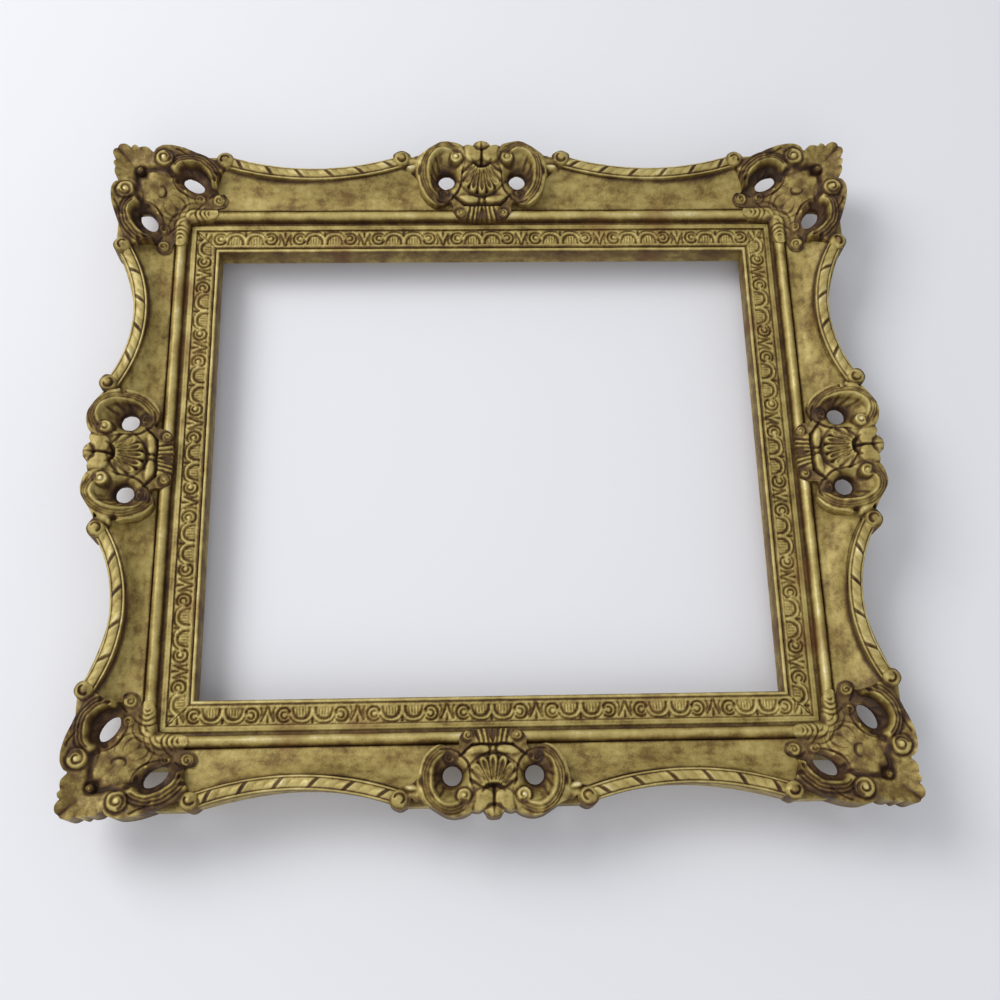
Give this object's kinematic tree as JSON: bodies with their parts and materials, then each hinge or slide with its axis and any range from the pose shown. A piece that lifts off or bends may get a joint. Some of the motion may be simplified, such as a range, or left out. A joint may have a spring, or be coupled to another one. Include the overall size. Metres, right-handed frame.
{
  "type": "ornate picture frame",
  "caption": "Ornate gilded swept picture frame with pierced shell and scroll ornaments, ribbon edges, rabbet, turn buttons and ring hangers.",
  "frame": {"origin": "middle of the back, on the surface the frame rests on when it lies face up", "axes": "+X across the picture to the right, +Y up the picture, +Z out of the front"},
  "size_m": [0.4362, 0.3908, 0.0484],
  "materials": {
    "gilded_wood": "antique gold with dark umber toning on the front, bare toned wood on the back",
    "gilded_composition": "antique gold with dark umber toning in the hollows and pale rubbed high points",
    "turn_button_brass": "dull",
    "screw_brass": "dull",
    "hanger_steel": "satin",
    "nail_steel": "satin"
  },
  "bodies": {
    "frame": {"centre_ornament_bottom": "gilded_composition", "centre_ornament_left": "gilded_composition", "centre_ornament_right": "gilded_composition", "centre_ornament_top": "gilded_composition", "corner_ornament_bottom_left": "gilded_composition", "corner_ornament_bottom_right": "gilded_composition", "corner_ornament_top_left": "gilded_composition", "corner_ornament_top_right": "gilded_composition", "hanger_screws": "screw_brass", "hanger_strap_left": "hanger_steel", "hanger_strap_right": "hanger_steel", "mitre_nails": "nail_steel", "rail_bottom": "gilded_wood", "rail_left": "gilded_wood", "rail_right": "gilded_wood", "rail_top": "gilded_wood", "ribbon_edge_bottom_left": "gilded_composition", "ribbon_edge_bottom_right": "gilded_composition", "ribbon_edge_left_lower": "gilded_composition", "ribbon_edge_left_upper": "gilded_composition", "ribbon_edge_right_lower": "gilded_composition", "ribbon_edge_right_upper": "gilded_composition", "ribbon_edge_top_left": "gilded_composition", "ribbon_edge_top_right": "gilded_composition", "scroll_band_bottom": "gilded_composition", "scroll_band_left": "gilded_composition", "scroll_band_right": "gilded_composition", "scroll_band_top": "gilded_composition", "turn_button_screws": "screw_brass"},
    "turn_button_bottom": {"turn_button_bottom": "turn_button_brass"},
    "turn_button_left": {"turn_button_left": "turn_button_brass"},
    "turn_button_top": {"turn_button_top": "turn_button_brass"},
    "turn_button_right": {"turn_button_right": "turn_button_brass"},
    "hanger_ring_left": {"hanger_ring_left": "hanger_steel"},
    "hanger_ring_right": {"hanger_ring_right": "hanger_steel"}
  },
  "joints": [
    {"name": "turn_button_bottom_pivot", "type": "hinge", "parent": "frame", "child": "turn_button_bottom", "pos_m": [-0.062, -0.1484, 0.00525], "axis": [0, 0, 1], "range_deg": [-180, 0]},
    {"name": "turn_button_left_pivot", "type": "hinge", "parent": "frame", "child": "turn_button_left", "pos_m": [-0.1708, -0.05312, 0.00525], "axis": [0, 0, 1], "range_deg": [-180, 0]},
    {"name": "turn_button_top_pivot", "type": "hinge", "parent": "frame", "child": "turn_button_top", "pos_m": [0.062, 0.1484, 0.00525], "axis": [0, 0, 1], "range_deg": [-180, 0]},
    {"name": "turn_button_right_pivot", "type": "hinge", "parent": "frame", "child": "turn_button_right", "pos_m": [0.1708, -0.05312, 0.00525], "axis": [0, 0, 1], "range_deg": [-180, 0]},
    {"name": "hanger_ring_left_swing", "type": "hinge", "parent": "frame", "child": "hanger_ring_left", "pos_m": [-0.1708, 0.06427, 0.00377], "axis": [1, 0, 0], "range_deg": [-170, 0]},
    {"name": "hanger_ring_right_swing", "type": "hinge", "parent": "frame", "child": "hanger_ring_right", "pos_m": [0.1708, 0.06427, 0.00377], "axis": [1, 0, 0], "range_deg": [-170, 0]}
  ]
}
